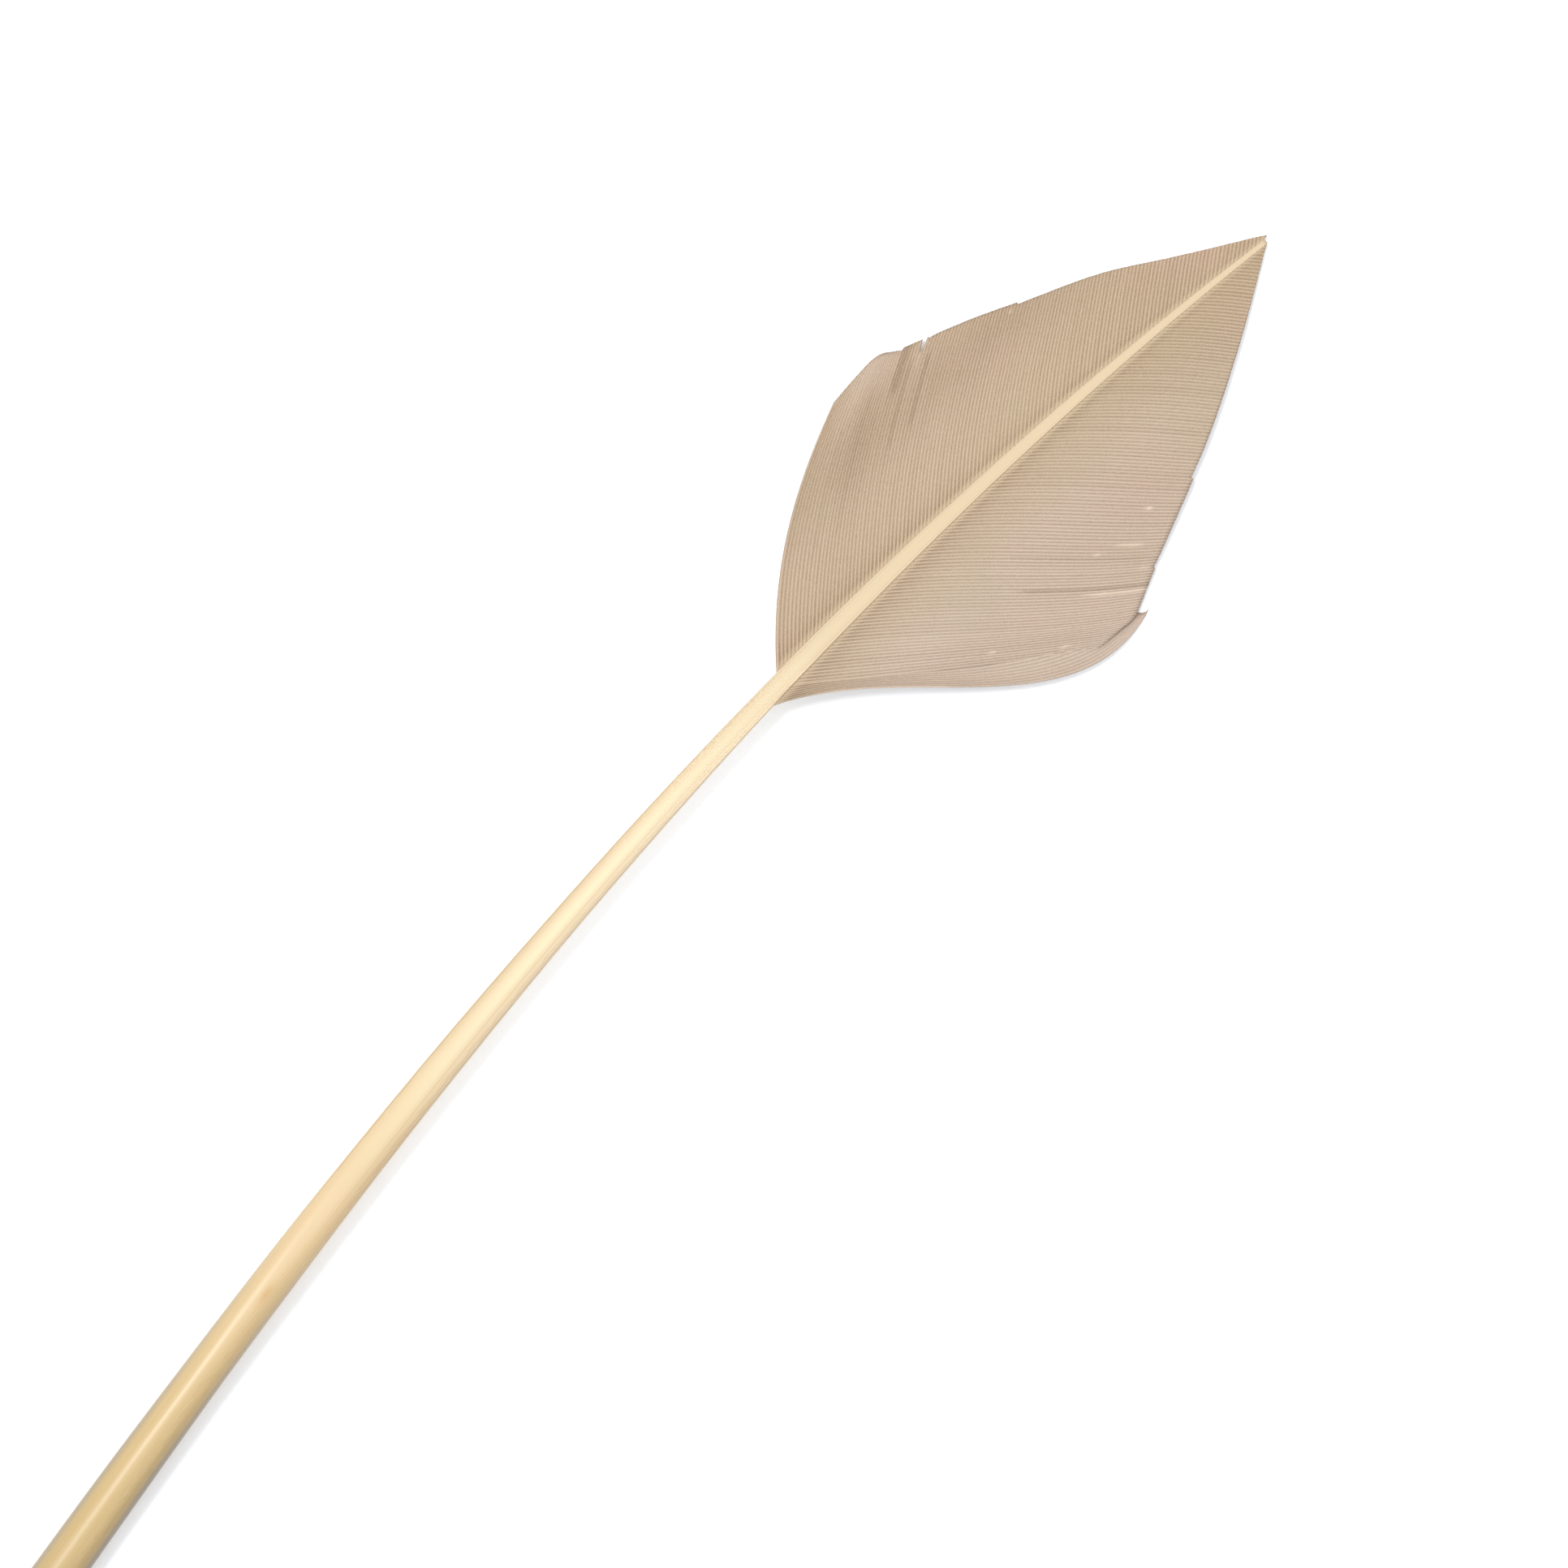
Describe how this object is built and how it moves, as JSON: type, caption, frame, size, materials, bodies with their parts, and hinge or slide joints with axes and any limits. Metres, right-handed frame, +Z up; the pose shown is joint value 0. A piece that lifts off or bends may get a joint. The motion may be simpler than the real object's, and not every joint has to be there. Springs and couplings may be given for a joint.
{
  "type": "turkey quill feather",
  "caption": "Stripped turkey wing quill: a long bare tapering stem with a trimmed spear-head vane at its tip, lying on its underside. For hat trims, flower work and crafts.",
  "frame": {"origin": "on the surface that the feather lies on, under the middle of its box", "axes": "+X from the quill's end to the feather's tip, +Y towards the left vane, +Z up out of the upper side"},
  "size_m": [0.3, 0.055, 0.0074],
  "materials": {
    "horn": "satin",
    "barbs_left": "matte",
    "barbs_right": "matte"
  },
  "bodies": {
    "root": {"shaft": "horn", "left_vane": "barbs_left", "right_vane": "barbs_right"}
  },
  "joints": []
}
